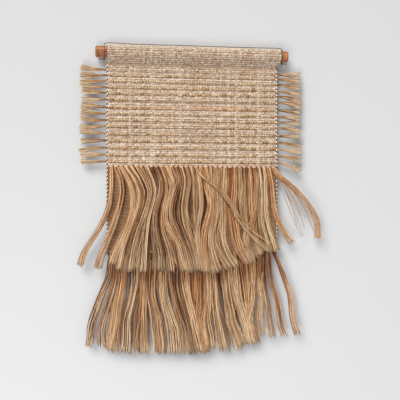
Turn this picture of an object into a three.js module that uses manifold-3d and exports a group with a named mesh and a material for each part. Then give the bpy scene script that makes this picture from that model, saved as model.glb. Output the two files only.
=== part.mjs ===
// Tapestry wall hanging: a dowel in a stitched rod pocket, one woven cloth, side tufts along both
// selvedges, and two rows of long yarn hanks knotted across the cloth. Millimetres, +Z up, the front
// faces -Y, and the origin is the middle of the dowel, on its axis.
import * as THREE from 'three';
import { mergeVertices } from 'three/addons/utils/BufferGeometryUtils.js';
import Module from 'manifold-3d';

// Dowel
const ROD_LENGTH = 440;
const ROD_RADIUS = 12.7;
const ROD_EDGE = 3.5;

// Cloth and its rod pocket
const CLOTH_THICKNESS = 2.6;
const CLOTH_HALF_WIDTH = 192.5;
const CLOTH_BOTTOM = -454;
const POCKET_BORE = 14.6;
const POCKET_INNER_TIP = -22.5;
const POCKET_LEFT = -195.8;
const POCKET_RIGHT = 202;
const SEAM_THREAD = 0.8;

// Gap kept between pieces that touch on the real object
const GAP = 0.3;

// Cords along the cloth's two side edges
const SELVEDGE_RADIUS = 1.6;

// Rows of knotted hanks
const KNOTS = 34;
const ROW_WIDTH = 382;
const KNOT_HALF_HEIGHT = 3;
const UPPER_KNOT_Z = -256;
const LOWER_KNOT_Z = -448.5;
const KNOT_THICKNESS = 4.2;
const HANK_SOLIDS = 17;
const HANK_GAP = 0.9;
const UPPER_HANK_TOP = -262;
const UPPER_HANK_BACK = -5.9;
const UPPER_HANK_THICKNESS = 6;
const LOWER_FLEX_Z = -508;
const LOWER_STUB_END = -507.4;
const LOWER_HANK_TOP = -510.4;
const LOWER_HANK_THICKNESS = 6.6;

// Where each pair of hanks ends, from the left: sideways place and height of its tip, and how late
// it sweeps aside where that differs from its neighbours
const HANK_SWEEP = 1.15;
const UPPER_TIPS = [
  [-252, -470], [-184, -478], [-157, -484], [-131, -490], [-105, -494], [-79, -496],
  [-52, -498], [-26, -501], [0, -501], [23, -500], [46, -500], [69, -499],
  [92, -492], [117, -482], [146, -462], [180, -450], [280, -418, 0.85],
];
const LOWER_TIPS = [
  [-236, -662], [-205, -666], [-177, -672], [-149, -676], [-122, -680], [-96, -681],
  [-69, -681], [-40, -679], [-11, -681], [16, -681], [42, -679], [67, -675],
  [94, -669], [122, -664], [152, -656], [187, -650], [232, -646],
];

// Tufts along the selvedges, and the heights at which they leave it
const TUFT_ROOTS = [-40, -52, -65, -79, -92, -106, -124, -138, -152, -166, -183, -198, -214, -230, -245];
const TUFT_REACH = 255;
const TUFT_THICKNESS = 2.4;
const TUFT_ROOT_HALF = 1.3;
const TUFT_TIP_HALF = 5.4;
const TUFT_HINGE_OFFSET = 0.3;
const TUFT_ROOT_CLEARANCE = 1.6;

// Hanging cord: tied round the dowel at both ends, it lies along the crest of the rod pocket
const CORD_RADIUS = 1;
const LOOP_LEFT = -200.6;
const LOOP_RIGHT = 205.6;
const LOOP_RADIUS = ROD_RADIUS + GAP + CORD_RADIUS;
const KNOT_BEAD = 2.1;
const CORD_ROUTE = [
  [-200.6, -2.4, 15.5], [-199.6, -2.5, 16.9], [-197.8, -2.7, 18.4], [-195.2, -2.9, 19.4],
  [-191, -3, 19.8], [-180, -3, 19.7], [-165, -3, 19.4], [-150, -3, 18.7],
  [-136, -3, 18.4], [-110, -3.1, 18.4], [-80, -3.2, 18.4], [-45, -3.2, 18.5],
  [-5, -3.1, 18.6], [35, -3, 18.4], [75, -3, 18.4], [110, -3, 18.4],
  [145, -3.2, 18.5], [172, -3.6, 18.6], [188, -4.2, 18.5], [196, -5.4, 18.1],
  [201, -7.6, 17.2], [203, -8.6, 16.4], [204.6, -9.5, 14.2], [205.4, -10.3, 12.3],
];

const COLOURS = {
  rod: '#a9653c',
  cord: '#8d7f70',
  weave: '#c9ae86',
  seam: '#d8c49c',
  selvedge: '#d6c19a',
  knots: '#dcb98c',
  hanks: '#c79b6a',
  tufts: '#bd9766',
};

const axisX = new THREE.Vector3(1, 0, 0);
const axisY = new THREE.Vector3(0, 1, 0);
const axisZ = new THREE.Vector3(0, 0, 1);
const front = new THREE.Vector3(0, -1, 0);

const wasm = await Module();
wasm.setup();

function solidOf(geometry) {
  const bare = geometry.clone();
  bare.deleteAttribute('normal');
  bare.deleteAttribute('uv');
  const merged = mergeVertices(bare, 1e-3);
  return new wasm.Manifold(new wasm.Mesh({
    numProp: 3,
    vertProperties: new Float32Array(merged.attributes.position.array),
    triVerts: new Uint32Array(merged.index.array),
  }));
}

function geometryOf(solid) {
  const mesh = solid.getMesh();
  const geometry = new THREE.BufferGeometry();
  geometry.setAttribute('position', new THREE.BufferAttribute(mesh.vertProperties, 3));
  geometry.setIndex(new THREE.BufferAttribute(mesh.triVerts, 1));
  geometry.computeVertexNormals();
  return geometry;
}

function join(geometries) {
  return geometryOf(geometries.map(solidOf).reduce((whole, piece) => whole.add(piece)));
}

// A flat piece drawn in X-Z, from y = back towards the front.
function plate(outline, back, thickness) {
  const shape = new THREE.Shape(outline.map(([x, z]) => new THREE.Vector2(x, z)));
  const geometry = new THREE.ExtrudeGeometry(shape, { depth: thickness, bevelEnabled: false });
  geometry.applyMatrix4(new THREE.Matrix4().makeBasis(axisX, axisZ, front));
  return geometry.translate(0, back, 0);
}

// A section drawn in Y-Z, drawn out along X.
function alongX(shape, left, right) {
  const geometry = new THREE.ExtrudeGeometry(shape, {
    depth: right - left, bevelEnabled: false, curveSegments: 24,
  });
  geometry.applyMatrix4(new THREE.Matrix4().makeBasis(axisY, axisZ, axisX));
  return geometry.translate(left, 0, 0);
}

// A round cord through a list of points.
function tube(points, radius, steps) {
  const path = new THREE.CatmullRomCurve3(points.map((p) => new THREE.Vector3(...p)));
  const section = new THREE.Shape().absarc(0, 0, radius, 0, 2 * Math.PI);
  return new THREE.ExtrudeGeometry(section, {
    steps, extrudePath: path, curveSegments: 4, bevelEnabled: false,
  });
}

function rodGeometry() {
  const half = ROD_LENGTH / 2;
  const profile = [new THREE.Vector2(0, -half)];
  for (const end of [-1, 1]) {
    for (const turn of [0, 30, 60, 90]) {
      const angle = THREE.MathUtils.degToRad(end < 0 ? turn : 90 - turn);
      const radius = ROD_RADIUS - ROD_EDGE * (1 - Math.sin(angle));
      profile.push(new THREE.Vector2(radius, end * (half - ROD_EDGE * (1 - Math.cos(angle)))));
    }
  }
  profile.push(new THREE.Vector2(0, half));
  return new THREE.LatheGeometry(profile, 40).rotateZ(-Math.PI / 2);
}

// A circle about the dowel's axis with two tangents that meet at a point below it.
function teardrop(path, radius, reach) {
  const opening = Math.acos(radius / reach);
  path.absarc(0, 0, radius, opening - Math.PI / 2, 1.5 * Math.PI - opening, false);
  path.lineTo(0, -reach);
  path.closePath();
  return path;
}

function clothGeometry() {
  const outerRadius = POCKET_BORE + CLOTH_THICKNESS;
  const outerReach = -POCKET_INNER_TIP * outerRadius / POCKET_BORE;
  const section = teardrop(new THREE.Shape(), outerRadius, outerReach);
  section.holes.push(teardrop(new THREE.Path(), POCKET_BORE, -POCKET_INNER_TIP));
  const panelTop = (POCKET_INNER_TIP - outerReach) / 2;
  const panel = plate([
    [-CLOTH_HALF_WIDTH, CLOTH_BOTTOM], [CLOTH_HALF_WIDTH, CLOTH_BOTTOM],
    [CLOTH_HALF_WIDTH, panelTop], [-CLOTH_HALF_WIDTH, panelTop],
  ], CLOTH_THICKNESS / 2, CLOTH_THICKNESS);
  return join([alongX(section, POCKET_LEFT, POCKET_RIGHT), panel]);
}

function seamGeometry() {
  const top = POCKET_INNER_TIP - 5.2;
  const half = CLOTH_HALF_WIDTH - 2;
  return plate([
    [-half, top - SEAM_THREAD], [half, top - SEAM_THREAD], [half, top], [-half, top],
  ], -CLOTH_THICKNESS / 2 - GAP, SEAM_THREAD);
}

function selvedgeGeometry(side) {
  const top = POCKET_INNER_TIP - 6;
  const length = top - CLOTH_BOTTOM;
  const x = side * (CLOTH_HALF_WIDTH + GAP + SELVEDGE_RADIUS);
  return new THREE.CylinderGeometry(SELVEDGE_RADIUS, SELVEDGE_RADIUS, length, 8)
    .rotateX(Math.PI / 2).translate(x, 0, top - length / 2);
}

// One course of knots side by side, rounded above, and either rounded or straight below.
function knotRowGeometry(centre, bottom) {
  const pitch = ROW_WIDTH / KNOTS;
  const knots = [...Array(KNOTS).keys()].map((i) => (i + 0.5) * pitch - ROW_WIDTH / 2);
  const edge = (x, side) => [
    [x - 0.44 * pitch, centre + side * 0.5 * KNOT_HALF_HEIGHT],
    [x - 0.22 * pitch, centre + side * KNOT_HALF_HEIGHT],
    [x + 0.22 * pitch, centre + side * KNOT_HALF_HEIGHT],
    [x + 0.44 * pitch, centre + side * 0.5 * KNOT_HALF_HEIGHT],
  ];
  const above = knots.flatMap((x) => edge(x, 1));
  const below = bottom === undefined
    ? knots.flatMap((x) => edge(x, -1))
    : [[-ROW_WIDTH / 2, bottom], [ROW_WIDTH / 2, bottom]];
  return plate([...below, ...above.reverse()], -CLOTH_THICKNESS / 2 - GAP, KNOT_THICKNESS);
}

// A pair of hanks that falls from its root and sweeps sideways to its tip.
function hankGeometry(rootX, rootZ, tip, back, thickness) {
  const steps = 6;
  const half = (ROW_WIDTH / HANK_SOLIDS - HANK_GAP) / 2;
  const sweep = tip[2] ?? HANK_SWEEP;
  const line = [...Array(steps + 1).keys()].map((i) => {
    const s = i / steps;
    return [rootX + (tip[0] - rootX) * s ** sweep, rootZ + (tip[1] - rootZ) * s];
  });
  const left = line.map(([x, z]) => [x - half, z]);
  const right = line.map(([x, z]) => [x + half, z]);
  return plate([...left, ...right.reverse()], back, thickness);
}

// One tuft, or two neighbouring tufts whose tips run together, from its upper to its lower root.
function tuftGeometry(side, upper, lower) {
  const root = CLOTH_HALF_WIDTH + GAP + 2 * SELVEDGE_RADIUS + TUFT_HINGE_OFFSET + TUFT_ROOT_CLEARANCE;
  const notch = root + 0.62 * (TUFT_REACH - root);
  const outline = [
    [root, upper + TUFT_ROOT_HALF], [TUFT_REACH, upper + TUFT_TIP_HALF],
    [TUFT_REACH, lower - TUFT_TIP_HALF], [root, lower - TUFT_ROOT_HALF],
  ];
  if (lower < upper) {
    outline.push([root, lower + TUFT_ROOT_HALF], [notch, (upper + lower) / 2]);
    outline.push([root, upper - TUFT_ROOT_HALF]);
  }
  return plate(outline.map(([x, z]) => [side * x, z]), TUFT_THICKNESS / 2, TUFT_THICKNESS);
}

// The cord's loop round the dowel, the knot under it, and the two cut ends.
function loopGeometry(x, outward) {
  const ring = new THREE.TorusGeometry(LOOP_RADIUS, CORD_RADIUS, 8, 24).rotateY(Math.PI / 2);
  const bead = new THREE.SphereGeometry(KNOT_BEAD, 10, 8).translate(0, 0, -LOOP_RADIUS - 1.6);
  const low = -LOOP_RADIUS - 2;
  const curled = tube([
    [0, -0.5, low], [outward * 4, -1, low - 1.5], [outward * 8, -1.4, low - 0.5],
    [outward * 12, -1.6, low - 2.4],
  ], 0.8, 8);
  const straight = tube([[0, 0.4, low], [outward * 0.3, 0.6, low - 4], [outward, 0.4, low - 8]], 0.8, 5);
  return join([ring, bead, curled, straight]).translate(x, 0, 0);
}

const root = new THREE.Group();

function add(name, geometry, colour, roughness = 0.85) {
  const material = new THREE.MeshStandardMaterial({ color: colour, roughness, metalness: 0 });
  const mesh = new THREE.Mesh(geometry, material);
  mesh.name = name;
  root.add(mesh);
}

const number = (i) => String(i + 1).padStart(2, '0');

add('rod', rodGeometry(), COLOURS.rod, 0.5);
add('hanging_cord', tube(CORD_ROUTE, CORD_RADIUS, 78), COLOURS.cord);
add('cord_knot_left', loopGeometry(LOOP_LEFT, -1), COLOURS.cord);
add('cord_knot_right', loopGeometry(LOOP_RIGHT, 1), COLOURS.cord);
add('woven_cloth', clothGeometry(), COLOURS.weave);
add('pocket_seam_thread', seamGeometry(), COLOURS.seam);
add('selvedge_cord_left', selvedgeGeometry(-1), COLOURS.selvedge);
add('selvedge_cord_right', selvedgeGeometry(1), COLOURS.selvedge);
add('upper_knot_row', knotRowGeometry(UPPER_KNOT_Z), COLOURS.knots);
add('lower_knot_row', knotRowGeometry(LOWER_KNOT_Z, LOWER_STUB_END), COLOURS.knots);

const lowerBack = -CLOTH_THICKNESS / 2 - GAP - KNOT_THICKNESS / 2 + LOWER_HANK_THICKNESS / 2;
for (let i = 0; i < HANK_SOLIDS; i += 1) {
  const x = (i + 0.5) * ROW_WIDTH / HANK_SOLIDS - ROW_WIDTH / 2;
  const upper = hankGeometry(x, UPPER_HANK_TOP, UPPER_TIPS[i], UPPER_HANK_BACK, UPPER_HANK_THICKNESS);
  const drift = (LOWER_FLEX_Z - LOWER_KNOT_Z) / (LOWER_TIPS[i][1] - LOWER_KNOT_Z);
  const lowerX = x + (LOWER_TIPS[i][0] - x) * drift * 0.25;
  const lower = hankGeometry(lowerX, LOWER_HANK_TOP, LOWER_TIPS[i], lowerBack, LOWER_HANK_THICKNESS);
  add(`upper_hanks_${number(i)}`, upper, COLOURS.hanks);
  add(`lower_hanks_${number(i)}`, lower, COLOURS.hanks);
}

// The uppermost tuft stands alone, and the rest run together in pairs.
for (const [side, word] of [[-1, 'left'], [1, 'right']]) {
  for (let lowest = 0; lowest < TUFT_ROOTS.length; lowest += 2) {
    const highest = Math.max(lowest - 1, 0);
    const tufts = tuftGeometry(side, TUFT_ROOTS[highest], TUFT_ROOTS[lowest]);
    add(`${word}_tufts_${number(lowest / 2)}`, tufts, COLOURS.tufts);
  }
}

export default root;
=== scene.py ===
"""Looks of the tapestry wall hanging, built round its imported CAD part: a dowel in a rod pocket, a
woven cloth with floats, tufts down both selvedges, and two tiers of long yarn fringe. Metres."""
import math

import bpy
import numpy as np
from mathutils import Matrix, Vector


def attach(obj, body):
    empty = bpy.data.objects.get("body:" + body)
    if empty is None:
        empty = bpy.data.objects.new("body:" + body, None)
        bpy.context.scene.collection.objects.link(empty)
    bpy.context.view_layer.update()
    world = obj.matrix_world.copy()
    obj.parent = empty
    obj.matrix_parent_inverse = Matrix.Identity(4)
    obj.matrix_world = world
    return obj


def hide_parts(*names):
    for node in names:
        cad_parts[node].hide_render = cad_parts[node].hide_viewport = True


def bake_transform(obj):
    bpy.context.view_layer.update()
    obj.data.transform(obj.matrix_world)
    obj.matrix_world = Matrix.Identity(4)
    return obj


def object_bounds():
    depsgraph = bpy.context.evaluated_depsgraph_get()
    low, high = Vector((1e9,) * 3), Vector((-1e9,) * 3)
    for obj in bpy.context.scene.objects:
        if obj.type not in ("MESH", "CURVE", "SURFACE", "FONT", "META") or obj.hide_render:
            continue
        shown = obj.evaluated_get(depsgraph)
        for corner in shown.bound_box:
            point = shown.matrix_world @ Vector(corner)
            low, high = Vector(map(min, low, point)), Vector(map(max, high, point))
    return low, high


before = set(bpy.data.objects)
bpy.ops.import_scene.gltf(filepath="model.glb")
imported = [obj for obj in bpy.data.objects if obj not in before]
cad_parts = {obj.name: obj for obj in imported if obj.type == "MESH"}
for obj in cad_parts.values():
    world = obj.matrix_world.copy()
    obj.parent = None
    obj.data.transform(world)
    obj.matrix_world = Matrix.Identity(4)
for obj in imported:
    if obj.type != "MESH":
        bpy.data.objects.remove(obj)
cad_low, cad_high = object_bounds()

MM = 0.001

# Cloth
CLOTH_THICKNESS = 2.6 * MM
CLOTH_HALF_WIDTH = 192.5 * MM
POCKET_LEFT = -193.5 * MM
POCKET_RIGHT = 202 * MM
POCKET_RADIUS = 15.9 * MM
CREASE_Z = -25.5 * MM
HEM_Y, HEM_Z = 2.9 * MM, -38 * MM
CLOTH_BOTTOM = -454 * MM
COVERED_Z = -262 * MM               # the upper fringe covers the cloth below this
WARP_PITCH = 2.7 * MM
WEFT_PITCH = 2.6 * MM
# Depths between which the patterned ground gives way to a plain one with ribs and painted shade
GROUND_END = (0.2515, 0.254)
RIB_PITCH = 7.5 * MM

# Float rows and the tufts that end them
ROW_Z = [MM * z for z in (
    -40, -52, -65, -79, -92, -106, -124, -138, -152, -166, -183, -198, -214, -230, -245,
)]
ROWS = len(ROW_Z)
ROW_PITCH = (ROW_Z[0] - ROW_Z[-1]) / (ROWS - 1)
CARAMEL_ROW = 6
SLUB_PITCH = 5.4 * MM
FLOAT_BLOCKS = [(-192, -146), (-137, -96), (-89, -33), (-26, 37), (45, 97), (105, 147), (158, 192)]

# Fringe
KNOTS = 34
ROW_WIDTH = 382 * MM
KNOT_PITCH = ROW_WIDTH / KNOTS
UPPER_KNOT_Z = -256 * MM
LOWER_KNOT_Z = -448.5 * MM
# Distance from the middle of the cloth at which tufts leave it
TUFT_ROOT_X = 194.8 * MM

# Hanging cord, and its route in mm from its loop at the left to its loop at the right
CORD_DIAMETER = 2 * MM
CORD_ROUTE = [
    (-200.6, -2.4, 15.5), (-199.6, -2.5, 16.9), (-197.8, -2.7, 18.4), (-195.2, -2.9, 19.4),
    (-191, -3, 19.8), (-180, -3, 19.7), (-165, -3, 19.4), (-150, -3, 18.7),
    (-136, -3, 18.4), (-110, -3.1, 18.4), (-80, -3.2, 18.4), (-45, -3.2, 18.5),
    (-5, -3.1, 18.6), (35, -3, 18.4), (75, -3, 18.4), (110, -3, 18.4),
    (145, -3.2, 18.5), (172, -3.6, 18.6), (188, -4.2, 18.5), (196, -5.4, 18.1),
    (201, -7.6, 17.2), (203, -8.6, 16.4), (204.6, -9.5, 14.2), (205.4, -10.3, 12.3),
]
LOOP_LEFT = -200.6 * MM
LOOP_RIGHT = 205.6 * MM
LOOP_RADIUS = 14 * MM
TWINE_LAY = 3.2 * MM
OFF_TWINE = (0.31, 0.9, 0.3)        # a direction that no twine runs along


# ---------------------------------------------------------------- camera, light and wall

def make_camera():
    target = Vector((0.0155, 0, -0.331))
    azimuth = math.radians(-8)
    distance = 1.6
    data = bpy.data.cameras.new("camera")
    data.sensor_width = 36
    data.lens = 63.3
    camera = bpy.data.objects.new("camera", data)
    camera.location = target + distance * Vector((math.sin(azimuth), -math.cos(azimuth), 0))
    camera.rotation_euler = (target - camera.location).to_track_quat("-Z", "Y").to_euler()
    bpy.context.collection.objects.link(camera)
    bpy.context.scene.camera = camera


def make_light(name, place, target, size, watts, colour):
    """A round lamp at a place, which faces the target."""
    data = bpy.data.lights.new(name, "AREA")
    data.shape = "DISK"
    data.size = size
    data.energy = watts
    data.color = colour
    light = bpy.data.objects.new(name, data)
    light.location = place
    light.rotation_euler = (Vector(target) - Vector(place)).to_track_quat("-Z", "Y").to_euler()
    bpy.context.collection.objects.link(light)


def make_sun(name, direction, angle, strength, colour):
    """A distant lamp that shines from the given direction, as wide as angle in degrees."""
    data = bpy.data.lights.new(name, "SUN")
    data.angle = math.radians(angle)
    data.energy = strength
    data.color = colour
    light = bpy.data.objects.new(name, data)
    light.rotation_euler = Vector(direction).to_track_quat("Z", "Y").to_euler()
    bpy.context.collection.objects.link(light)


def make_world(strength):
    world = bpy.data.worlds.new("studio")
    world.use_nodes = True
    background = world.node_tree.nodes["Background"]
    background.inputs["Color"].default_value = (0.97, 0.98, 1, 1)
    background.inputs["Strength"].default_value = strength
    bpy.context.scene.world = world


def make_wall():
    """A pale wall just behind the hanging, which is open to light and sight from its back."""
    half, y = 4, cad_high.y + 1.5 * MM
    corners = [(-half, y, -half), (half, y, -half), (half, y, half), (-half, y, half)]
    wall = mesh_object("wall", corners, [4], [0, 1, 2, 3])
    material, tree, shader = new_material("pale_wall", 0.9, 0.1)
    shader.inputs["Base Color"].default_value = (0.737, 0.74, 0.745, 1)
    see_through = tree.nodes.new("ShaderNodeBsdfTransparent")
    mix = tree.nodes.new("ShaderNodeMixShader")
    geometry = tree.nodes.new("ShaderNodeNewGeometry")
    tree.links.new(geometry.outputs["Backfacing"], mix.inputs[0])
    tree.links.new(shader.outputs[0], mix.inputs[1])
    tree.links.new(see_through.outputs[0], mix.inputs[2])
    tree.links.new(mix.outputs[0], tree.nodes["Material Output"].inputs["Surface"])
    wall.data.materials.append(material)
    wall.visible_diffuse = False
    wall.visible_glossy = False
    wall.visible_shadow = False


# ---------------------------------------------------------------- meshes

def mesh_object(name, vertices, face_sizes, face_vertices, tone=None):
    """A smooth mesh from its vertices, the corner count of each face and the faces' vertices in turn.
    tone gives four values to each vertex, for the material."""
    mesh = bpy.data.meshes.new(name)
    vertices = np.asarray(vertices, np.float32)
    face_sizes = np.asarray(face_sizes, np.int32)
    starts = np.concatenate([[0], np.cumsum(face_sizes)[:-1]]).astype(np.int32)
    mesh.vertices.add(len(vertices))
    mesh.vertices.foreach_set("co", vertices.ravel())
    mesh.loops.add(int(face_sizes.sum()))
    mesh.loops.foreach_set("vertex_index", np.asarray(face_vertices, np.int32).ravel())
    mesh.polygons.add(len(face_sizes))
    mesh.polygons.foreach_set("loop_start", starts)
    mesh.update(calc_edges=True)
    mesh.polygons.foreach_set("use_smooth", np.full(len(face_sizes), True))
    if tone is not None:
        attribute = mesh.attributes.new("tone", "FLOAT_COLOR", "POINT")
        attribute.data.foreach_set("color", np.asarray(tone, np.float32).ravel())
    obj = bpy.data.objects.new(name, mesh)
    bpy.context.collection.objects.link(obj)
    return obj


def strands(name, groups, sides=3, across=(0, 1, 0)):
    """One mesh of closed round strands. A group is (paths, radii, tones) of shapes (n, k, 3), (n, k)
    and (n, k, 4), and across is a direction that no path runs along."""
    vertices, tones, sizes, corners, offset = [], [], [], [], 0
    for paths, radii, tone in groups:
        n, k = radii.shape
        along = np.gradient(paths, axis=1)
        along /= np.linalg.norm(along, axis=2, keepdims=True)
        side = np.cross(np.asarray(across, float), along)
        side /= np.linalg.norm(side, axis=2, keepdims=True)
        up = np.cross(along, side)
        turn = (np.arange(sides) * 2 * np.pi / sides)[None, None, :, None]
        ring = np.cos(turn) * side[:, :, None] + np.sin(turn) * up[:, :, None]
        vertices.append((paths[:, :, None] + ring * radii[:, :, None, None]).reshape(-1, 3))
        tones.append(np.repeat(tone[:, :, None], sides, axis=2).reshape(-1, 4))
        index = offset + np.arange(n * k * sides).reshape(n, k, sides)
        after = np.roll(index, -1, axis=2)
        quads = np.stack([index[:, :-1], after[:, :-1], after[:, 1:], index[:, 1:]], axis=-1)
        caps = np.concatenate([index[:, 0, ::-1], index[:, -1]])
        corners += [quads.ravel(), caps.ravel()]
        sizes += [np.full(quads.size // 4, 4), np.full(2 * n, sides)]
        offset += n * k * sides
    return mesh_object(name, *map(np.concatenate, (vertices, sizes, corners, tones)))


def smooth_path(points, count):
    """A Catmull-Rom curve through the points, as evenly spaced samples."""
    p = np.asarray(points, float)
    p = np.concatenate([[2 * p[0] - p[1]], p, [2 * p[-1] - p[-2]]])
    t = np.linspace(0, 1, 40, endpoint=False)[:, None]

    def span(a, b, c, d):
        square, cube = 2 * a - 5 * b + 4 * c - d, 3 * b - a - 3 * c + d
        return 0.5 * (2 * b + (c - a) * t + square * t ** 2 + cube * t ** 3)

    pieces = [span(*points) for points in zip(p, p[1:], p[2:], p[3:])]
    fine = np.concatenate(pieces + [p[-2:-1]])
    reach = np.concatenate([[0], np.cumsum(np.linalg.norm(np.diff(fine, axis=0), axis=1))])
    even = np.linspace(0, reach[-1], count)
    return np.stack([np.interp(even, reach, fine[:, i]) for i in range(3)], axis=1)


def step_between(x, low, high):
    """A smooth step from 0 at low to 1 at high."""
    t = np.clip((x - low) / (high - low), 0, 1)
    return t * t * (3 - 2 * t)


# ---------------------------------------------------------------- materials

def new_material(name, roughness, specular):
    material = bpy.data.materials.new(name)
    material.use_nodes = True
    shader = material.node_tree.nodes["Principled BSDF"]
    shader.inputs["Roughness"].default_value = roughness
    shader.inputs["Specular IOR Level"].default_value = specular
    return material, material.node_tree, shader


def srgb(r, g, b):
    """A colour as Blender's inputs take it, from its r, g and b of 255."""
    def linear(v):
        v /= 255
        return v / 12.92 if v <= 0.04045 else ((v + 0.055) / 1.055) ** 2.4
    return (linear(r), linear(g), linear(b), 1)


def math_node(tree, operation, a, b, clamp=False):
    node = tree.nodes.new("ShaderNodeMath")
    node.operation = operation
    node.use_clamp = clamp
    for socket, value in zip(node.inputs, (a, b)):
        if isinstance(value, (int, float)):
            socket.default_value = value
        else:
            tree.links.new(value, socket)
    return node.outputs[0]


def vary(tree, value, pattern, amount, clamp=False):
    """The value, moved up and down by a pattern that runs from 0 to 1."""
    swing = math_node(tree, "MULTIPLY", math_node(tree, "SUBTRACT", pattern, 0.5), amount)
    return math_node(tree, "ADD", value, swing, clamp)


def mix_colours(tree, factor, a, b, blend="MIX"):
    node = tree.nodes.new("ShaderNodeMix")
    node.data_type = "RGBA"
    node.blend_type = blend
    for socket, value in ((node.inputs[0], factor), (node.inputs[6], a), (node.inputs[7], b)):
        if isinstance(value, (int, float, tuple)):
            socket.default_value = value
        else:
            tree.links.new(value, socket)
    return node.outputs[2]


def ramp(tree, factor, stops):
    node = tree.nodes.new("ShaderNodeValToRGB")
    elements = node.color_ramp.elements
    while len(elements) < len(stops):
        elements.new(0.5)
    for element, (position, colour) in zip(elements, stops):
        element.position = position
        element.color = colour
    tree.links.new(factor, node.inputs[0])
    return node.outputs[0]


def three_tones(tree, factor, *colours):
    return ramp(tree, factor, [(place, srgb(*c)) for place, c in zip((0.0, 0.5, 1.0), colours)])


def stretched_noise(tree, scale, detail, roughness=0.5):
    """Noise with its own scale, in grains to a metre, along each of x, y and z."""
    coordinates = tree.nodes.new("ShaderNodeTexCoord")
    mapping = tree.nodes.new("ShaderNodeMapping")
    mapping.inputs["Scale"].default_value = scale
    noise = tree.nodes.new("ShaderNodeTexNoise")
    noise.inputs["Scale"].default_value = 1
    noise.inputs["Detail"].default_value = detail
    noise.inputs["Roughness"].default_value = roughness
    tree.links.new(coordinates.outputs["Object"], mapping.inputs["Vector"])
    tree.links.new(mapping.outputs[0], noise.inputs["Vector"])
    return noise.outputs["Fac"]


def add_bump(tree, shader, height, distance):
    bump = tree.nodes.new("ShaderNodeBump")
    bump.inputs["Distance"].default_value = distance
    bump.inputs["Strength"].default_value = 1
    tree.links.new(height, bump.inputs["Height"])
    tree.links.new(bump.outputs[0], shader.inputs["Normal"])


def tone_channels(tree):
    attribute = tree.nodes.new("ShaderNodeAttribute")
    attribute.attribute_name = "tone"
    split = tree.nodes.new("ShaderNodeSeparateColor")
    tree.links.new(attribute.outputs["Color"], split.inputs[0])
    return (*split.outputs[:3], attribute.outputs["Alpha"])


WARM_TINT = (1.1, 0.78, 0.52, 1)


def yarn_material(
    name, dark, middle, light, roughness=0.55, grain=(900, 900, 60), pale_tip=(5, 0.3),
):
    """Yarn whose tone attribute holds: the strand's own shade, the place along it from root to tip,
    how much painted shade it gets from lying deep in its bundle, and how warm the bundle's colour is.
    dark, middle and light are (r, g, b) of 255, and pale_tip is the power and the strength with which
    the tip turns light."""
    material, tree, shader = new_material(name, roughness, 0.35)
    shade, along, bundle_shade, warmth = tone_channels(tree)
    streaks = stretched_noise(tree, grain, 2)
    patches = stretched_noise(tree, (60, 60, 14), 2)
    shade = vary(tree, vary(tree, shade, streaks, 0.8), patches, 0.7)
    # Painted shade: strands that lie deep in their bundle are darker.
    shade = math_node(tree, "SUBTRACT", shade, math_node(tree, "MULTIPLY", bundle_shade, 0.85), clamp=True)
    colour = three_tones(tree, shade, dark, middle, light)
    colour = mix_colours(tree, warmth, colour, mix_colours(tree, 1.0, colour, WARM_TINT, "MULTIPLY"))
    pale = math_node(tree, "MULTIPLY", math_node(tree, "POWER", along, pale_tip[0]), pale_tip[1])
    colour = mix_colours(tree, pale, colour, srgb(*light))
    tree.links.new(colour, shader.inputs["Base Color"])
    shader.inputs["Sheen Weight"].default_value = 0.15
    shader.inputs["Sheen Roughness"].default_value = 0.4
    add_bump(tree, shader, streaks, 0.00012)
    return material


def cell_noise(tree, size):
    """A random value for each cell of a grid whose cells have the given size."""
    coordinates = tree.nodes.new("ShaderNodeTexCoord")
    scale = tree.nodes.new("ShaderNodeVectorMath")
    scale.operation = "DIVIDE"
    scale.inputs[1].default_value = size
    floor = tree.nodes.new("ShaderNodeVectorMath")
    floor.operation = "FLOOR"
    noise = tree.nodes.new("ShaderNodeTexWhiteNoise")
    tree.links.new(coordinates.outputs["Object"], scale.inputs[0])
    tree.links.new(scale.outputs[0], floor.inputs[0])
    tree.links.new(floor.outputs[0], noise.inputs["Vector"])
    return noise.outputs["Value"]


def cloth_material():
    """Plain weave of slubby, speckled yarn. The tone attribute holds: warp or weft on top, the
    crossing's own shade with the painted highlight on the pocket's crest, how much painted shade lies
    on the ground, and how much caramel yarn is in it."""
    material, tree, shader = new_material("woven_cotton", 0.85, 0.2)
    over, shade, groove_and_shade, caramel = tone_channels(tree)
    fibres = stretched_noise(tree, (1500, 400, 1500), 3, 0.7)
    patches = stretched_noise(tree, (40, 40, 70), 3)
    flecks = cell_noise(tree, (2.1 * MM, 6 * MM, 1.5 * MM))
    slubs = cell_noise(tree, (5.2 * MM, 8 * MM, 1.3 * MM))
    speckle = vary(tree, vary(tree, shade, flecks, 0.5), slubs, 0.26)
    speckle = vary(tree, vary(tree, speckle, fibres, 0.5), patches, 0.2, clamp=True)
    warp = three_tones(tree, speckle, (96, 64, 44), (180, 148, 120), (250, 234, 214))
    weft = three_tones(tree, speckle, (116, 82, 56), (194, 163, 134), (255, 244, 226))
    colour = mix_colours(tree, over, warp, weft)
    colour = mix_colours(tree, caramel, colour, srgb(200, 136, 84))
    # Painted shade: the ground turns dark brown under the float rows, behind the upper fringe and in the
    # crease under the pocket.
    colour = mix_colours(tree, groove_and_shade, colour, srgb(104, 70, 44))
    tree.links.new(colour, shader.inputs["Base Color"])
    shader.inputs["Sheen Weight"].default_value = 0.2
    add_bump(tree, shader, fibres, 0.0003)
    return material


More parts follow.
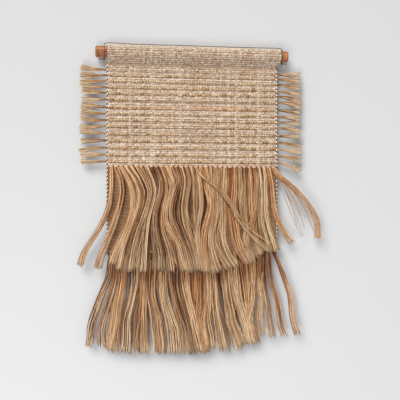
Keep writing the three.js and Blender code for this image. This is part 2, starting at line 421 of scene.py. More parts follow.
def wood_material():
    """Stained wood with grain along x, darker in the pores."""
    material, tree, shader = new_material("stained_wood", 0.42, 0.45)
    grain = stretched_noise(tree, (22, 380, 380), 5, 0.7)
    bands = stretched_noise(tree, (8, 120, 120), 2)
    figure = stretched_noise(tree, (160, 60, 60), 2)
    pores = stretched_noise(tree, (110, 1300, 1300), 2)
    tone = math_node(tree, "MULTIPLY", grain, 0.45)
    tone = math_node(tree, "ADD", tone, math_node(tree, "MULTIPLY", bands, 0.3))
    tone = math_node(tree, "ADD", tone, math_node(tree, "MULTIPLY", figure, 0.25))
    colour = ramp(tree, tone, [
        (0.36, srgb(92, 46, 22)), (0.5, srgb(190, 121, 72)), (0.64, srgb(238, 178, 124)),
    ])
    dark = ramp(tree, pores, [(0.32, (0.2, 0.13, 0.1, 1)), (0.45, (1, 1, 1, 1))])
    tree.links.new(mix_colours(tree, 0.75, colour, dark, "MULTIPLY"), shader.inputs["Base Color"])
    rough = math_node(tree, "ADD", math_node(tree, "MULTIPLY", grain, 0.3), 0.28)
    tree.links.new(rough, shader.inputs["Roughness"])
    add_bump(tree, shader, tone, 0.0008)
    return material


# ---------------------------------------------------------------- fringe

SAMPLES = 34
FIBRES = 5
YARN_RADIUS = 1.05 * MM
FIBRE_RADIUS = 0.42 * MM
STRAY_RADIUS = 0.36 * MM
SPRUNG_RADIUS = 0.55 * MM
# Yarns of a hank: places across it and from front to back
FULL_HANK = [
    (-0.68, -0.75), (-0.24, -1), (0.2, -0.95), (0.64, -0.8),
    (-0.9, -0.1), (-0.45, 0.1), (0, 0), (0.45, 0.1), (0.9, -0.1),
    (-1.15, 0.6), (-0.6, 1), (0, 1), (0.6, 1), (1.15, 0.6),
]
THIN_HANK = [(-0.9, 0), (-0.3, -0.6), (0.3, -0.2), (0.9, -0.5), (0, 0.5)]
LOOSE_HANK = [
    (-0.9, 0), (-0.6, -0.6), (-0.35, 0.3), (-0.1, -0.6),
    (0.15, 0.2), (0.4, -0.6), (0.65, 0.2), (0.9, -0.3),
]


def wander(rng, s, size, count):
    """Slow waves that grow from nothing at s = 0, one row for each of the count."""
    often, phase = rng.uniform(0.5, 2.2, (count, 1)), rng.uniform(0, 2 * np.pi, (count, 1))
    waves = rng.normal(0, size, (count, 1)) * np.sin(2 * np.pi * often * s + phase)
    return waves * step_between(s, 0, 0.8)


def bundle(
    rng, centre, half_width, half_depth, laid, warmth, shade, ragged, strays=4, thick=1.0,
    root_shade=(0.2, 0.02, 0.25),
):
    """The loose yarns of one hank, each of a few fibres laid round each other, and single fibres
    that have come away. centre(s) gives points at s, which runs from 0 at the root to 1 at the tip,
    and half_width(s) and half_depth(s) are those of the hank's section. A yarn of those laid in it
    is a pair: its place across the hank, from -1 to 1, and its place from front to back. ragged is
    the spread of their lengths, thick scales them, and dim says how much painted shade darkens them at
    the root, and between which places that fades."""
    s = np.linspace(0, 1, SAMPLES)
    count = len(laid)
    n = count * FIBRES
    yarn = np.repeat(np.arange(count), FIBRES)
    end = 1 + rng.normal(0, ragged, count)[yarn] + rng.normal(0, ragged * 0.7, n)
    end -= max(0, end.max() - 1 - 1.5 * ragged)
    t = s[None] * end[:, None]
    points, direction = centre(t), centre(t + 1e-3) - centre(t - 1e-3)
    across = np.stack([-direction[..., 2], np.zeros_like(t), direction[..., 0]], axis=-1)
    across /= np.linalg.norm(across, axis=-1, keepdims=True)

    place = np.array(laid) + rng.normal(0, 0.07, (count, 2))
    u = (place[:, :1] + wander(rng, s, 0.13, count))[yarn]
    v = (place[:, 1:] + wander(rng, s, 0.16, count))[yarn]
    turns = (rng.choice([-1, 1], count) * rng.uniform(6, 10, count))[yarn][:, None]
    lay = (np.tile(np.arange(FIBRES), count) * 2 * np.pi / FIBRES)[:, None] + turns * t
    swell = 0.8 + 0.2 * step_between(t, 0, 0.1) + 0.3 * step_between(t, 0.84, 1.04)
    stout = thick * YARN_RADIUS * swell
    paths = points + across * (u * half_width(t) + 0.6 * stout * np.cos(lay))[..., None]
    paths[..., 1] += v * half_depth(t) + 0.6 * stout * np.sin(lay)
    radii = thick * FIBRE_RADIUS * rng.uniform(0.85, 1.15, (n, 1)) * np.ones(SAMPLES)
    radii[:, -1] *= 0.6

    tone = np.empty((n, SAMPLES, 4))
    own_shade = shade + rng.normal(0, 0.28, count)[yarn] + rng.normal(0, 0.12, n)
    tone[..., 0] = np.clip(own_shade, 0, 1)[:, None]
    tone[..., 1] = s
    painted_root_shade = root_shade[0] * (1 - step_between(s, root_shade[1], root_shade[2]))
    # Painted shade: yarns at the back and the edges of the hank, fibres on the far side of their yarn,
    # and the root are darker.
    tone[..., 2] = np.clip(0.3 + 0.4 * v + 0.14 * u ** 2 + 0.18 * np.sin(lay) + painted_root_shade, 0, 0.72)
    tone[..., 3] = np.clip(warmth + rng.normal(0, 0.12, count)[yarn], 0, 1)[:, None]
    away, away_tone = stray_fibres(rng, s, paths, half_depth(1), warmth, strays)
    return (
        np.concatenate([paths, away]),
        np.concatenate([radii, np.full((strays, SAMPLES), STRAY_RADIUS)]),
        np.concatenate([tone, away_tone]),
    )


def stray_fibres(rng, s, paths, half_depth, warmth, count):
    """Fibres that leave a hank's own and come to its front: their paths and tones."""
    away = paths[rng.integers(0, len(paths), count)].copy()
    away[..., 0] += wander(rng, s, 4 * MM, count) + rng.normal(0, 3.5 * MM, (count, 1)) * s ** 2
    forward = -half_depth - rng.uniform(0, 1.5 * MM, (count, 1))
    away[..., 1] += forward * step_between(s, 0.05, 0.4)
    tone = np.zeros((count, SAMPLES, 4))
    tone[..., 0], tone[..., 1] = rng.uniform(0.4, 1, (count, 1)), s
    tone[..., 3] = warmth
    return away, tone


# How the hanks hang, in mm: for a hank counted from the left, the height of its tip, and then how
# far it is from straight below its knot at equal steps from root to tip. The rest lie in between.
UPPER_RUN = {
    0: (-477, 0, 1, 0, -4, -13, -27, -44, -60, -68),
    1: (-483, 0, 10, 13, 8, 0, -10, -21, -33, -41),
    2: (-472, 0, 14, 24, 25, 20, 10, -1, -12, -22),
    3: (-488, 0, 20, 30, 29, 20, 9, -1, -8, -14),
    4: (-490, 0, 20, 31, 28, 19, 8, -1, -7, -11),
    6: (-486, 0, 13, 23, 18, 9, 1, -5, -11, -18),
    8: (-493, 0, 11, 11, 5, 1, 2, 4, 6, 7),
    10: (-495, 0, 10, 11, 4, 1, 5, 14, 20, 24),
    11: (-495, 0, 12, 11, 2, 1, 14, 29, 36, 43),
    13: (-495, 0, 6, 0, -7, -4, 8, 21, 30, 36),
    15: (-493, 0, 6, 2, -1, 3, 11, 19, 23, 27),
    18: (-493, 0, 7, 15, 19, 11, 2, -1, 2, 5),
    20: (-495, 0, 1, 3, 7, 3, -3, -5, -1, 4),
    22: (-490, 0, -3, -4, -4, -8, -14, -13, -2, 16),
    24: (-477, 0, -1, -2, -3, 2, 6, 11, 22, 40),
    26: (-474, 0, 0, 1, 2, 4, 9, 12, 17, 30),
    28: (-458, 0, 2, 3, 3, 4, 7, 12, 19, 24),
    29: (-440, 0, 2, 4, 5, 5, 0, -8, -16, -22),
    30: (-445, 0, 2, 3, 4, 3, 5, 8, 12, 17),
    31: (-447, 0, 2, 3, 5, 6, 11, 16, 22, 29),
    32: (-433, 0, 3, 7, 9, 12, 18, 27, 39, 56),
    33: (-420, 0, 14, 39, 61, 78, 92, 101, 103, 103),
}
LOWER_RUN = {
    0: (-661, 0, -2, -5, -15, -26, -34, -40, -44, -50),
    1: (-664, 0, 0, -1, -7, -16, -23, -28, -31, -33),
    2: (-668, 0, -2, -4, -8, -14, -19, -23, -26, -28),
    4: (-675, 0, 0, 1, -1, -6, -12, -17, -21, -25),
    5: (-675, 0, 0, 1, -1, -5, -11, -15, -18, -20),
    6: (-675, 0, 0, -1, -2, -5, -9, -11, -12, -12),
    8: (-677, 0, -2, -4, -4, -2, 1, 4, 7, 10),
    11: (-681, 0, -1, -2, 0, 6, 15, 25, 29, 31),
    13: (-681, 0, 1, 2, 5, 13, 22, 31, 38, 42),
    15: (-677, 0, 1, 3, 5, 10, 17, 23, 31, 38),
    16: (-679, 0, 4, 8, 10, 13, 18, 25, 32, 38),
    18: (-679, 0, 6, 11, 13, 11, 3, 1, 4, 6),
    20: (-672, 0, 1, 2, 4, 6, 9, 14, 20, 27),
    22: (-672, 0, 2, 4, 7, 10, 14, 20, 30, 39),
    24: (-661, 0, 1, 2, 5, 10, 18, 26, 35, 44),
    26: (-661, 0, 3, 6, 10, 13, 17, 23, 31, 39),
    28: (-655, 0, 1, 3, 4, 4, 3, 0, -1, 0),
    29: (-650, 0, 0, 1, 0, -1, -5, -13, -16, -17),
    30: (-642, 0, 0, -1, 0, 1, 1, 1, 3, 6),
    31: (-646, 0, 0, -1, 0, 3, 7, 11, 15, 20),
    32: (-646, 0, 1, 4, 9, 16, 22, 28, 33, 38),
    33: (-645, 0, 11, 21, 30, 37, 41, 46, 52, 58),
}
# A hank that crosses over its neighbours to the right edge
CROSSING = 17
CROSSING_RUN = (-450, 0, 15, 46, 67, 83, 96, 115, 141, 174)
# How far the hanks of a pair draw together: the left one and the right one
LEAN = (2.5 * MM, -2.5 * MM)
# Upper hanks at the sides that differ from the rest: half width in mm, yarns, shade and warmth
UPPER_WIDTHS = {0: 4.2, 1: 5, 29: 3.6, 32: 5.4, 33: 6}
UPPER_YARNS = {29: THIN_HANK, 32: LOOSE_HANK, 33: LOOSE_HANK}
UPPER_SHADES = {0: 0.9, 1: 0.95, 32: 0.85, 33: 0.95}
UPPER_WARMTHS = {0: 0.35, 32: 0.75, 33: 0.5}
# The y in mm of each of four hanks in turn, in front of the cloth
UPPER_LAYERS = (-7, -12.5, -9, -10.5)
LOWER_LAYERS = (-3.6, -7.6, -5.2, -6.4)


def knot_x(i):
    return (i + 0.5) * KNOT_PITCH - ROW_WIDTH / 2


def hank_line(i, root_z, run, layer, rng, waviness, lean=0):
    """The centre line of a hank, as a function of the part of its length from its root. run is one
    hank's own shape, or those of the hanks known by number. layer is how far it comes forward, and
    lean moves it sideways, once it is clear of its knot."""
    root_x = knot_x(i)
    if isinstance(run, dict):
        known = sorted(run)
        shape = [np.interp(i, known, [run[k][c] for k in known]) for c in range(10)]
    else:
        shape = run
    tip_z = shape[0] * MM + rng.normal(0, 2.2 * MM)
    places = smooth_path([(MM * x, j / 8, 0) for j, x in enumerate(shape[1:])], 200)
    waves = [(rng.normal(0, waviness), often, rng.uniform(0, 1)) for often in (1.1, 1.9, 2.9)]

    def line(t):
        s = np.clip(t, 0, None)
        x = root_x + np.interp(s, places[:, 1], places[:, 0])
        for (size, often, phase), share in zip(waves, (1, 0.6, 0.3)):
            wave = np.sin(2 * np.pi * (often * s + phase)) - math.sin(2 * np.pi * phase)
            x = x + share * size * wave * s
        x = x + lean * step_between(s, 0.08, 0.5)
        y = -4 * MM + (layer + 4 * MM) * step_between(s, 0, 0.16)
        return np.stack([x, y, root_z + (tip_z - root_z) * t], axis=-1)
    return line


def pair_look(i, seed):
    """What two neighbouring hanks share: a generator for their waves, their shade and their warmth."""
    rng = np.random.default_rng(seed + i // 2)
    return rng, rng.uniform(0.42, 0.92), rng.uniform(0, 0.5)


def upper_hank(i, rng):
    """The groups of strands of upper hank i. The outer two at each side hang apart from the rest."""
    waves, shade, warmth = pair_look(i, 500)
    layer = UPPER_LAYERS[i % 4] * MM + rng.normal(0, 0.7 * MM)
    root_z = UPPER_KNOT_Z - 1 * MM
    waviness, lean = (0, 0) if i < 2 or i > 31 else (1.3 * MM, LEAN[i % 2])
    line = hank_line(i, root_z, UPPER_RUN, layer, waves, waviness, lean)
    wide = UPPER_WIDTHS.get(i, rng.uniform(5.8, 7.4)) * MM
    fan = rng.uniform(0.8, 2.4) * MM
    root = min(4.6 * MM, wide)
    groups = [bundle(
        rng, line,
        lambda t: root + (wide - root) * step_between(t, 0, 0.25) + fan * step_between(t, 0.7, 1.05),
        lambda t: 1.7 * MM + 1.5 * MM * step_between(t, 0, 0.25),
        UPPER_YARNS.get(i, FULL_HANK), UPPER_WARMTHS.get(i, warmth), UPPER_SHADES.get(i, shade),
        ragged=0.007, strays=6 if i > 15 else 3,
    )]
    if i == CROSSING:
        groups.append(bundle(
            rng, hank_line(i, root_z, CROSSING_RUN, -17 * MM, rng, 1 * MM),
            lambda t: 1.5 * MM + 5 * MM * step_between(t, 0.1, 0.5) + 5 * MM * step_between(t, 0.6, 1),
            lambda t: 1.5 * MM,
            THIN_HANK, 0.3, 0.9, ragged=0.04, strays=12, thick=0.65,
        ))
    if i == KNOTS - 1:
        groups.append(sprung_fibres(i, rng))
    return groups


def sprung_fibres(i, rng):
    """Single fibres that spring away to the right of the last hank."""
    n = 10
    s = np.linspace(0, 1, SAMPLES)
    reach, drop = rng.uniform(46, 92, (n, 1)) * MM, rng.uniform(100, 160, (n, 1)) * MM
    curl = rng.uniform(0.55, 1.5, (n, 1))
    flick = rng.uniform(0, 14 * MM, (n, 1)) * s ** 5
    paths = np.empty((n, SAMPLES, 3))
    paths[..., 0] = knot_x(i) - 4 * MM + reach * np.sin(s * curl) / np.sin(curl) + flick
    paths[..., 1] = -6 * MM - rng.uniform(0, 6 * MM, (n, 1)) * s
    paths[..., 2] = UPPER_KNOT_Z - 1 * MM - drop * s ** 1.1
    tone = np.zeros((n, SAMPLES, 4))
    tone[..., 0] = rng.uniform(0.25, 0.55, (n, 1))
    return paths, np.full((n, SAMPLES), SPRUNG_RADIUS), tone


def lower_hank(i, rng):
    """The groups of strands of lower hank i, which is painted dark, as shade, where the upper tier covers
    it.
    """
    layer = LOWER_LAYERS[i % 4] * MM + rng.normal(0, 0.5 * MM)
    waves, shade, warmth = pair_look(i, 700)
    lean = 0 if i < 2 or i > 28 else LEAN[i % 2]
    line = hank_line(i, LOWER_KNOT_Z - 1 * MM, LOWER_RUN, layer, waves, 2 * MM, lean)
    root = 4.2 * MM
    wide = rng.uniform(5.4, 6.8) * MM
    fan = rng.uniform(1.2, 3) * MM
    return [bundle(
        rng, line,
        lambda t: root + (wide - root) * step_between(t, 0, 0.3) + fan * step_between(t, 0.35, 1.05),
        lambda t: 1.5 * MM + 1.5 * MM * step_between(t, 0, 0.25),
        FULL_HANK if i < 29 else LOOSE_HANK, warmth + 0.1 * (i > 27), shade,
        ragged=0.012, root_shade=(0.6, 0.2, 0.46),
    )]


def make_fringe(tier, hank, material, seed):
    """Two hanks for each CAD solid."""
    for pair in range(KNOTS // 2):
        rng = np.random.default_rng(seed + pair)
        groups = hank(2 * pair, rng) + hank(2 * pair + 1, rng)
        piece = strands(f"{tier}_hank_yarns_{pair + 1:02d}", groups)
        piece.data.materials.append(material)
        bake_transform(piece)
        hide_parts(f"{tier}_hanks_{pair + 1:02d}")


# Painted shade that a knot's strands add to their tone where they sink into the cloth at its sides
SHADED_ENDS = np.array([-0.9, 0, 0, 0])


def make_knots(tier, z, node, material, seed, pallor):
    """Lark's heads: strands wrapped side by side over each hank, and a smaller float behind the
    cloth. pallor is their shade, from 0 to 1."""
    rng = np.random.default_rng(seed)
    wraps, k = 7, 9
    front = -CLOTH_THICKNESS / 2
    groups = []
    for i in range(KNOTS):
        half = 4.5 * MM + rng.normal(0, 0.25 * MM)
        tilt = rng.normal(0, 0.5 * MM)
        row = np.linspace(-1, 1, wraps)[:, None]
        u = np.linspace(-1, 1, k)[None]
        paths = np.empty((wraps, k, 3))
        paths[..., 0] = knot_x(i) + half * u
        arch = np.sqrt(np.clip(1 - (0.97 * u) ** 2, 0, 1))
        proud = (1.2 + 2.6 * np.sqrt(1 - 0.85 * row ** 2)) * MM
        paths[..., 1] = front + 0.6 * MM - proud * arch
        paths[..., 2] = z + 2.5 * MM * row * (0.72 + 0.28 * arch) + tilt * u
        paths += rng.normal(0, 0.1 * MM, (wraps, 1, 3))
        tone = knot_tone(rng, wraps, k, pallor) + SHADED_ENDS * (u ** 4)[..., None]
        groups.append((paths, np.full((wraps, k), 0.62 * MM), tone))
        back = paths[2:5] * [1, 0, 1] + [0, CLOTH_THICKNESS / 2 - 0.2 * MM, 0]
        back[..., 1] += 0.9 * MM * arch
        groups.append((back, np.full((3, k), 0.6 * MM), knot_tone(rng, 3, k, pallor)))
    piece = strands(f"{tier}_knots", groups, sides=5)
    piece.data.materials.append(material)
    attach(piece, "cloth")
    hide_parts(node)
    return piece


def knot_tone(rng, n, k, pallor):
    """Tones of n strands of k points each that belong to one knot."""
    tone = np.zeros((n, k, 4))
    tone[..., 0] = np.clip(pallor + rng.normal(0, 0.14) + rng.normal(0, 0.12, n), 0, 1)[:, None]
    tone[..., 3] = rng.uniform(0, 0.1)
    return tone


# ---------------------------------------------------------------- tufts

# How far each tuft's end is above its root in mm, from the top down, at the left and the right
TUFT_RISE = {
    -1: (4.8, -0.7, -3.6, 3.9, 5.7, -3.9, 4.3, 7.5, 5, -3.6, 5, -2.5, -8.9, -2.5, -1.1),
    1: (0.5, -4.5, -4.5, -10.7, -11.4, -11.4, -7.5, -5.7, 0, -8.9, -2.5, -10.2, -7.5, -8.9, -22),
}


def tuft(i, side, rng):
    """The yarns of tuft i, counted from the top, at the left for side -1 and the right for 1."""
    z = ROW_Z[i]
    reach = (58.5 if side < 0 else 56.5) * MM + rng.normal(0, 1.2 * MM)
    rise = TUFT_RISE[side][i] * MM
    sag, forward = rng.normal(0, 1 * MM), rng.normal(-0.5 * MM, 0.6 * MM)

    def line(t):
        s = np.clip(t, 0, None)
        bend = sag * np.sin(np.pi * np.clip(s, 0, 1)) + rise * s ** 1.9
        return np.stack([side * (TUFT_ROOT_X + reach * t), forward * s, z + bend], axis=-1)

    wide = rng.uniform(6.2, 7.6) * MM
    return bundle(
        rng, line,
        lambda t: 0.9 * MM + (wide - 0.9 * MM) * np.clip(t, 0, None) ** 1.15,
        lambda t: 0.8 * MM + 1.1 * MM * np.clip(t, 0, None),
        LOOSE_HANK, rng.uniform(0, 0.3), 0.7,
        # Painted shade darkens the tuft towards its root.
        ragged=0.025, strays=2, thick=1.05, root_shade=(0.5, 0.1, 0.6),
    )


def make_tufts(side, word, material, seed):
    """One tuft for the first CAD solid of a side and two for each of the others."""
    for pair in range((ROWS + 1) // 2):
        rng = np.random.default_rng(seed + pair)
        members = [0] if pair == 0 else [2 * pair - 1, 2 * pair]
        piece = strands(f"{word}_tuft_yarns_{pair + 1:02d}", [tuft(i, side, rng) for i in members])
        piece.data.materials.append(material)
        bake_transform(piece)
        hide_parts(f"{word}_tufts_{pair + 1:02d}")


# ---------------------------------------------------------------- cloth

def cloth_section():
    """The middle line of the cloth's section, from the hem behind the panel, up and over the dowel,
    to the bottom edge: points in (y, z), half a weft apart where the cloth shows, and the length of
    cloth up to each."""
    def tangent(y, z):
        return math.acos(POCKET_RADIUS / math.hypot(y, z))

    back = math.atan2(HEM_Y, -CREASE_Z) + tangent(HEM_Y, CREASE_Z)
    front = 2 * math.pi - tangent(0, CREASE_Z)
    round_dowel = [
        (POCKET_RADIUS * math.sin(a), -POCKET_RADIUS * math.cos(a)) for a in np.linspace(back, front, 90)
    ]
    p = np.array([
        (HEM_Y, HEM_Z), (HEM_Y, CREASE_Z - 1 * MM), *round_dowel, (0, CREASE_Z), (0, CLOTH_BOTTOM),
    ])
    reach = np.concatenate([[0], np.cumsum(np.linalg.norm(np.diff(p, axis=0), axis=1))])
    covered = reach[-1] + CLOTH_BOTTOM - COVERED_Z
    even = np.concatenate([
        np.arange(0, covered, WEFT_PITCH / 2), np.arange(covered, reach[-1], WEFT_PITCH), [reach[-1]],
    ])
    line = np.stack([np.interp(even, reach, p[:, i]) for i in range(2)], axis=1)
    for _ in range(6):
        line[1:-1] = (line[:-2] + 2 * line[1:-1] + line[2:]) / 4
    return line, even


def row_at(z):
    """Which float row a height is at, counted from the top."""
    depths = [-ROW_Z[0] - ROW_PITCH, *(-r for r in ROW_Z), -ROW_Z[-1] + ROW_PITCH]
    return np.interp(-z, depths, range(-1, ROWS + 1))


def ground_relief(x, z, front):
    """How far the ground sinks under each float row, and how much painted shade it gets there, from 0 to
    1.
    """
    below = (row_at(z) % 1 + 0.5) % 1 * ROW_PITCH - 0.5 * ROW_PITCH
    on_rows = (z > ROW_Z[-1] - 6 * MM) & (z < ROW_Z[0] + 6 * MM)
    on = np.full_like(x, 0.5)
    for left, right in FLOAT_BLOCKS:
        begun = step_between(x, (left - 1) * MM, (left + 2) * MM)
        on = np.maximum(on, begun * (1 - step_between(x, (right - 2) * MM, (right + 1) * MM)))
    drop, spread = 3.4 * MM, 1.0 * MM
    band = np.exp(-((below - drop) / spread) ** 2)
    return np.where(front & on_rows, on * band, 0)


def weave_shade(rng, weft, columns, normal):
    """Each crossing's own shade, each weft's and each warp's. Wefts are light and dark in turn, and the
    crest of the pocket is painted paler, as a highlight where it faces up to the light."""
    wefts = weft.max() + 1
    shade = rng.normal(0, 0.07, (wefts, columns))[weft[:, 0]]
    shade += rng.normal(0, 0.05, wefts)[weft[:, 0]][:, None] + rng.normal(0, 0.05, columns)[None]
    # Painted highlight: the crest of the pocket, which faces up, is paler.
    return shade + (0.13 * (2 * (weft % 2) - 1) + 0.26 * step_between(normal[:, 1:], 0.35, 0.95))


def cloth_tones(x, z, over, shade, groove_and_shade, front, past_crest):
    """The tones of the cloth's two faces. The part behind the upper fringe is painted darker and more
    caramel, as shade, and ribbed, and the crease under the pocket gets painted shade."""
    rows_down = row_at(z)
    caramel = np.exp(-((rows_down - CARAMEL_ROW) / 0.16) ** 2) * 0.75 * front
    caramel *= 0.6 + 0.4 * np.sin(x * 60) * np.sin(x * 23 + 2)
    thin_lines = (np.abs(rows_down % 1 - 0.55) < 0.07) * front * 0.15
    # Behind the upper fringe and between the knots the ground is painted darker and more caramel, as
    # shade, with ribs.
    under_fringe = step_between(-z, *GROUND_END)
    caramel = np.maximum(caramel, 0.55 * under_fringe)
    fringe_shade_and_ribs = under_fringe * (0.45 + 0.3 * (np.abs(z / RIB_PITCH % 1 - 0.5) < 0.22))
    # Painted shade in the crease under the pocket.
    crease = 0.5 * np.exp(-((z - CREASE_Z + 1.5 * MM) / (3.2 * MM)) ** 2) * past_crest
    dark = np.maximum(np.maximum(groove_and_shade * 0.85, fringe_shade_and_ribs), crease)
    lit = np.clip(0.54 + shade + thin_lines, 0, 1)
    unlit, none = np.clip(0.45 + shade, 0, 1), np.zeros_like(x)
    return (
        np.stack([over, lit, dark, np.clip(caramel, 0, 1)], axis=-1),
        np.stack([1 - over, unlit, none, none], axis=-1),
    )


def closed_sheet(rows, columns):
    """The quads of a sheet of rows by columns points, its other face's points, and its four edges."""
    index = np.arange(rows * columns).reshape(rows, columns)
    behind = index + rows * columns
    quads = [
        (index[1:, :-1], index[1:, 1:], index[:-1, 1:], index[:-1, :-1]),
        (behind[:-1, :-1], behind[:-1, 1:], behind[1:, 1:], behind[1:, :-1]),
        (index[:-1, 0], behind[:-1, 0], behind[1:, 0], index[1:, 0]),
        (index[1:, -1], behind[1:, -1], behind[:-1, -1], index[:-1, -1]),
        (index[0, 1:], behind[0, 1:], behind[0, :-1], index[0, :-1]),
        (index[-1, :-1], behind[-1, :-1], behind[-1, 1:], index[-1, 1:]),
    ]
    return np.concatenate([np.stack(corners, axis=-1).reshape(-1, 4) for corners in quads])


def make_cloth(material):
    """The cloth in one closed sheet. Each crossing of its weave stands out where the weft is on top."""
    rng = np.random.default_rng(11)
    line, length_at = cloth_section()
    along = np.gradient(line, axis=0)
    along /= np.linalg.norm(along, axis=1, keepdims=True)
    normal = np.stack([along[:, 1], -along[:, 0]], axis=1)      # out of the front face of the panel
    columns = int(2 * CLOTH_HALF_WIDTH / WARP_PITCH) + 1
    in_pocket = step_between(line[:, 1], CREASE_Z + 1 * MM, CREASE_Z + 12 * MM)
    left = -CLOTH_HALF_WIDTH + (POCKET_LEFT + CLOTH_HALF_WIDTH) * in_pocket
    right = CLOTH_HALF_WIDTH + (POCKET_RIGHT - CLOTH_HALF_WIDTH) * in_pocket
    x = left[:, None] + (right - left)[:, None] * np.linspace(0, 1, columns)[None]
    x = x + 0.25 * MM * np.sin(length_at * 900)[:, None]
    z = np.repeat(line[:, 1:2], columns, axis=1)
    past_crest = (length_at > length_at[np.argmax(line[:, 1])])[:, None]
    front = past_crest & (z < ROW_Z[0] + 6 * MM)

    wefts_before = length_at / WEFT_PITCH
    weft = np.floor(wefts_before + 0.01).astype(int)[:, None]
    middle = np.abs(wefts_before - np.round(wefts_before))[:, None] < 0.3
    over = ((weft + np.arange(columns)[None]) % 2).astype(float)
    shade = weave_shade(rng, weft, columns, normal)
    groove_and_shade = ground_relief(x, z, front)
    bump = np.where(over > 0.5, 0.3, -0.1) * MM * np.where(middle, 1, 0.25)
    bump = bump + rng.normal(0, 0.06 * MM, bump.shape)
    sag = np.where(z < CREASE_Z, 0.8 * MM * np.sin(x * 21 + z * 9) * np.sin(z * 17 + 1), 0)
    y = line[:, 0:1] - sag * step_between(-z, 0.03, 0.12)
    half = CLOTH_THICKNESS / 2

    def face(offset):
        out_y, out_z = normal[:, 0:1] * offset, normal[:, 1:2] * offset
        return np.stack([x, y + out_y, line[:, 1:2] + out_z], axis=-1).reshape(-1, 3)

    vertices = np.concatenate([face(half + bump - 0.7 * MM * groove_and_shade), face(-(half - bump * 0.6))])
    faces = closed_sheet(len(line), columns)
    tones = [t.reshape(-1, 4) for t in cloth_tones(x, z, over, shade, groove_and_shade, front, past_crest)]
    cloth = mesh_object("woven_panel", vertices, np.full(len(faces), 4), faces, np.concatenate(tones))
    cloth.data.materials.append(material)
    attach(cloth, "cloth")
    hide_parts("woven_cloth")
    return cloth


def make_floats(material):
    """Dashes of slubby loose weft that lie on the ground in rows, each of four strands."""
    rng = np.random.default_rng(23)
    groups = []
    for row, z in enumerate(ROW_Z):
        weight = rng.uniform(0.75, 1.05) if row else 0.5
        for block, (left, right) in enumerate(FLOAT_BLOCKS):
            dashes = max(2, round((right - left) / 15))
            edges = np.linspace(left, right, dashes + 1) * MM
            orange = rng.uniform(0.35, 1) if row == CARAMEL_ROW and block < 6 else 0
            for a, b in zip(edges, edges[1:]):
                if rng.uniform() < 0.06:
                    continue
                warmth = rng.uniform(0.2, 0.7) if rng.uniform() < 0.06 else rng.uniform(0, 0.2)
                a, b = a + rng.uniform(0, 2.4) * MM, b - rng.uniform(0, 2.4) * MM
                level = z + rng.normal(0, 0.3 * MM)
                groups.append(dash(a, b, level, weight, max(orange, warmth), rng))
    floats = strands("weft_floats", groups, sides=5)
    floats.data.materials.append(material)
    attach(floats, "cloth")
    return floats


def dash(a, b, z, weight, warmth, rng):
    """The strands of one float from x = a to b, one above another, with their slubs nearly in step."""
    k = 15
    u = np.linspace(0, 1, k)[None]
    stack = np.linspace(-1, 1, 4)[:, None]
    arch = np.clip(np.sin(np.pi * u), 0, 1) ** 0.35
    slub = np.sin(2 * np.pi * (u * (b - a) / SLUB_PITCH + 0.15 * stack) + rng.uniform(0, 6.3))
    paths = np.empty((4, k, 3))
    paths[..., 0] = a + (b - a) * u
    paths[..., 1] = -CLOTH_THICKNESS / 2 + 0.9 * MM - 1.5 * MM * weight * arch * (1 - 0.25 * stack ** 2)
    paths[..., 2] = z + stack * 2.0 * MM * weight * (0.6 + 0.4 * arch)
    radii = (0.5 + 0.2 * arch + 0.12 * slub) * MM * weight
    tone = np.zeros((4, k, 4))
    own_shade = rng.normal(0, 0.12) + rng.normal(0, 0.08, (4, 1))
    # Painted light and shade: the upper strands of a float are lighter and the lower ones darker.
    tone[..., 0] = np.clip(0.5 + 0.18 * stack + own_shade + 0.32 * slub, 0, 1)
    tone[..., 3] = warmth
    return paths, radii, tone


def make_seam(material):
    """Running stitches that close the rod pocket, just under its crease."""
    rng = np.random.default_rng(31)
    groups = []
    z = CREASE_Z - 2.6 * MM
    k = 8
    u = np.linspace(0, 1, k)
    y = -CLOTH_THICKNESS / 2 + 0.3 * MM - 0.75 * MM * np.sin(np.pi * u) ** 0.5
    for start in np.arange(-190, 186, 8.5) * MM:
        lift = rng.normal(0, 0.15 * MM)
        path = np.stack([start + 6 * MM * u, y, z + lift + 0 * u], axis=1)[None]
        tone = np.zeros((1, k, 4))
        tone[..., 0] = 0.5 + rng.normal(0, 0.1)
        groups.append((path, np.full((1, k), 0.4 * MM), tone))
    seam = strands("seam_stitches", groups, sides=6)
    seam.data.materials.append(material)
    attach(seam, "cloth")
    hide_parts("pocket_seam_thread")
    return seam


def make_selvedge(side, word, material):
    """Two plies, one light and one dark, twisted round each other down the edge."""
    top, pitch = -28.5 * MM, 9 * MM
    turns = (top - CLOTH_BOTTOM) / pitch
    k = int(turns * 9)
    s = np.linspace(0, 1, k)
    x = side * (CLOTH_HALF_WIDTH + 1.3 * MM)
    groups = []
    for ply, shade in ((0, 1.0), (np.pi, 0.0)):
        angle = side * 2 * np.pi * turns * s + ply
        y = 0.75 * MM * np.sin(angle) - 0.3 * MM
        z = top + (CLOTH_BOTTOM - top) * s
        path = np.stack([x + 0.5 * MM * np.cos(angle), y, z], axis=1)[None]
        tone = np.zeros((1, k, 4))
        tone[..., 0] = shade
        groups.append((path, np.full((1, k), 1.35 * MM), tone))
    cord = strands(f"selvedge_plies_{word}", groups, sides=6)
    cord.data.materials.append(material)
    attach(cord, "cloth")
    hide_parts(f"selvedge_cord_{word}")
    return cord


# ---------------------------------------------------------------- hanging cord

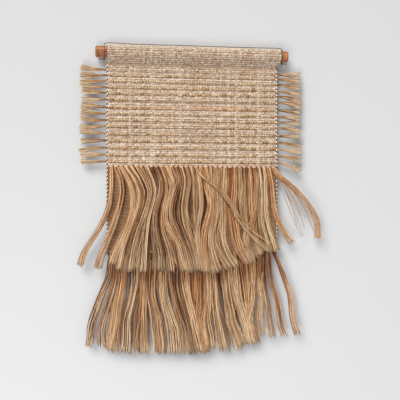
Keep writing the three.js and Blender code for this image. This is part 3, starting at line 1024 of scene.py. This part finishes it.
def twine(points, diameter, count):
    """Three plies laid round a path, as strand groups, and the path's even points."""
    line = smooth_path(points, count)
    along = np.gradient(line, axis=0)
    along /= np.linalg.norm(along, axis=1, keepdims=True)
    side = np.cross(along, OFF_TWINE)
    side /= np.linalg.norm(side, axis=1, keepdims=True)
    up = np.cross(along, side)
    reach = np.concatenate([[0], np.cumsum(np.linalg.norm(np.diff(line, axis=0), axis=1))])
    groups = []
    for ply in range(3):
        angle = (2 * np.pi * (reach / TWINE_LAY + ply / 3))[:, None]
        path = line + (np.cos(angle) * side + np.sin(angle) * up) * diameter * 0.24
        tone = np.zeros((1, count, 4))
        tone[..., 0] = (0.35, 0.5, 0.65)[ply]
        groups.append((path[None], np.full((1, count), diameter * 0.27), tone))
    return groups, line


def make_cord(material):
    groups, line = twine(np.array(CORD_ROUTE) * MM, CORD_DIAMETER, 760)
    cord = strands("hanging_twine", groups, sides=5, across=OFF_TWINE)
    cord.data.materials.append(material)
    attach(cord, "cord")
    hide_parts("hanging_cord")


def make_cord_knot(x, outward, word, material):
    """One turn round the dowel at x, an overhand knot under it, and two cut ends. outward is the
    direction along x, -1 or 1, in which they point."""
    turn = np.linspace(0.02, 2 * np.pi - 0.02, 60)
    ring = np.stack([
        0.35 * MM * np.sin(turn), LOOP_RADIUS * np.sin(turn), -LOOP_RADIUS * np.cos(turn),
    ], axis=1)
    t = np.linspace(0, 2 * np.pi, 40)
    knot = np.stack([
        1.5 * np.sin(t) + 0.9 * np.sin(2 * t), 1.3 * np.cos(3 * t), 1.4 * np.cos(t) - 0.6 * np.cos(2 * t),
    ], axis=1)
    curled = np.array([
        (0.5, -0.5, 0), (3, -1, -1.7), (5.5, -1.3, -1.2),
        (8, -1.4, -0.2), (10, -1.5, -1.6), (12, -1.6, -1.8),
    ])
    straight = np.array([(0, 0.4, -0.5), (0.3, 0.6, -4), (0.5, 0.5, -6), (1, 0.4, -8)])
    under_dowel = [0, 0, -LOOP_RADIUS - 1.6 * MM]
    to_side = [outward * MM, MM, MM]
    knot = knot * MM + under_dowel
    curled, straight = curled * to_side + under_dowel, straight * to_side + under_dowel
    lengths = [(ring, 2, 130), (knot, 1.9, 60), (curled, 1.9, 34), (straight, 1.9, 24)]
    groups = []
    for points, diameter, count in lengths:
        groups += twine(points, diameter * MM, count)[0]
    for paths, _, _ in groups:
        paths[..., 0] += x
    piece = strands(f"twine_knot_{word}", groups, sides=5, across=OFF_TWINE)
    piece.data.materials.append(material)
    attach(piece, "cord")
    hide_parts(f"cord_knot_{word}")
    return piece


# ---------------------------------------------------------------- assembly

make_camera()
bpy.context.scene.view_settings.view_transform = "Standard"
make_world(0.38)
make_sun("key", (-0.42, -0.72, 0.62), 36, 2.22, (1, 0.985, 0.96))
make_light("low_fill", (-0.8, -2.0, -1.5), (0.1, 0, -0.6), 1.2, 17, (0.99, 0.99, 1))

twine_material = yarn_material("twine", (70, 54, 40), (122, 102, 82), (172, 152, 130), roughness=0.8)
knot_pieces = [
    make_cord_knot(LOOP_LEFT, -1, "left", twine_material),
    make_cord_knot(LOOP_RIGHT, 1, "right", twine_material),
]
make_cord(twine_material)

make_wall()
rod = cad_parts["rod"]
rod.material_slots[0].material = wood_material()

fringe_yarn = yarn_material(
    "fringe_yarn", (88, 42, 14), (190, 138, 88), (255, 230, 190), roughness=0.5,
)
tuft_yarn = yarn_material(
    "tuft_yarn", (90, 48, 16), (218, 166, 100), (255, 240, 210),
    grain=(60, 900, 900), pale_tip=(3.5, 0.55),
)
knot_yarn = yarn_material(
    "knot_yarn", (160, 114, 78), (226, 192, 160), (250, 228, 202),
    roughness=0.65, grain=(300, 900, 900),
)
float_yarn = yarn_material(
    "float_yarn", (112, 78, 44), (200, 168, 124), (246, 228, 192),
    roughness=0.65, grain=(200, 900, 900),
)
selvedge_yarn = yarn_material(
    "selvedge_yarn", (84, 50, 30), (206, 178, 142), (255, 248, 232),
    roughness=0.75, grain=(700, 700, 700),
)
thread = yarn_material("sewing_thread", (150, 124, 88), (206, 184, 146), (236, 220, 190))

cloth = make_cloth(cloth_material())
on_cloth = [
    make_floats(float_yarn),
    make_seam(thread),
    make_selvedge(-1, "left", selvedge_yarn),
    make_selvedge(1, "right", selvedge_yarn),
    make_knots("upper", UPPER_KNOT_Z, "upper_knot_row", knot_yarn, 41, 0.62),
    # The lower knots are painted dark, as shade under the upper fringe.
    make_knots("lower", LOWER_KNOT_Z, "lower_knot_row", knot_yarn, 43, 0.12),
]

make_fringe("upper", upper_hank, fringe_yarn, 100)
make_fringe("lower", lower_hank, fringe_yarn, 200)
make_tufts(-1, "left", tuft_yarn, 300)
make_tufts(1, "right", tuft_yarn, 400)
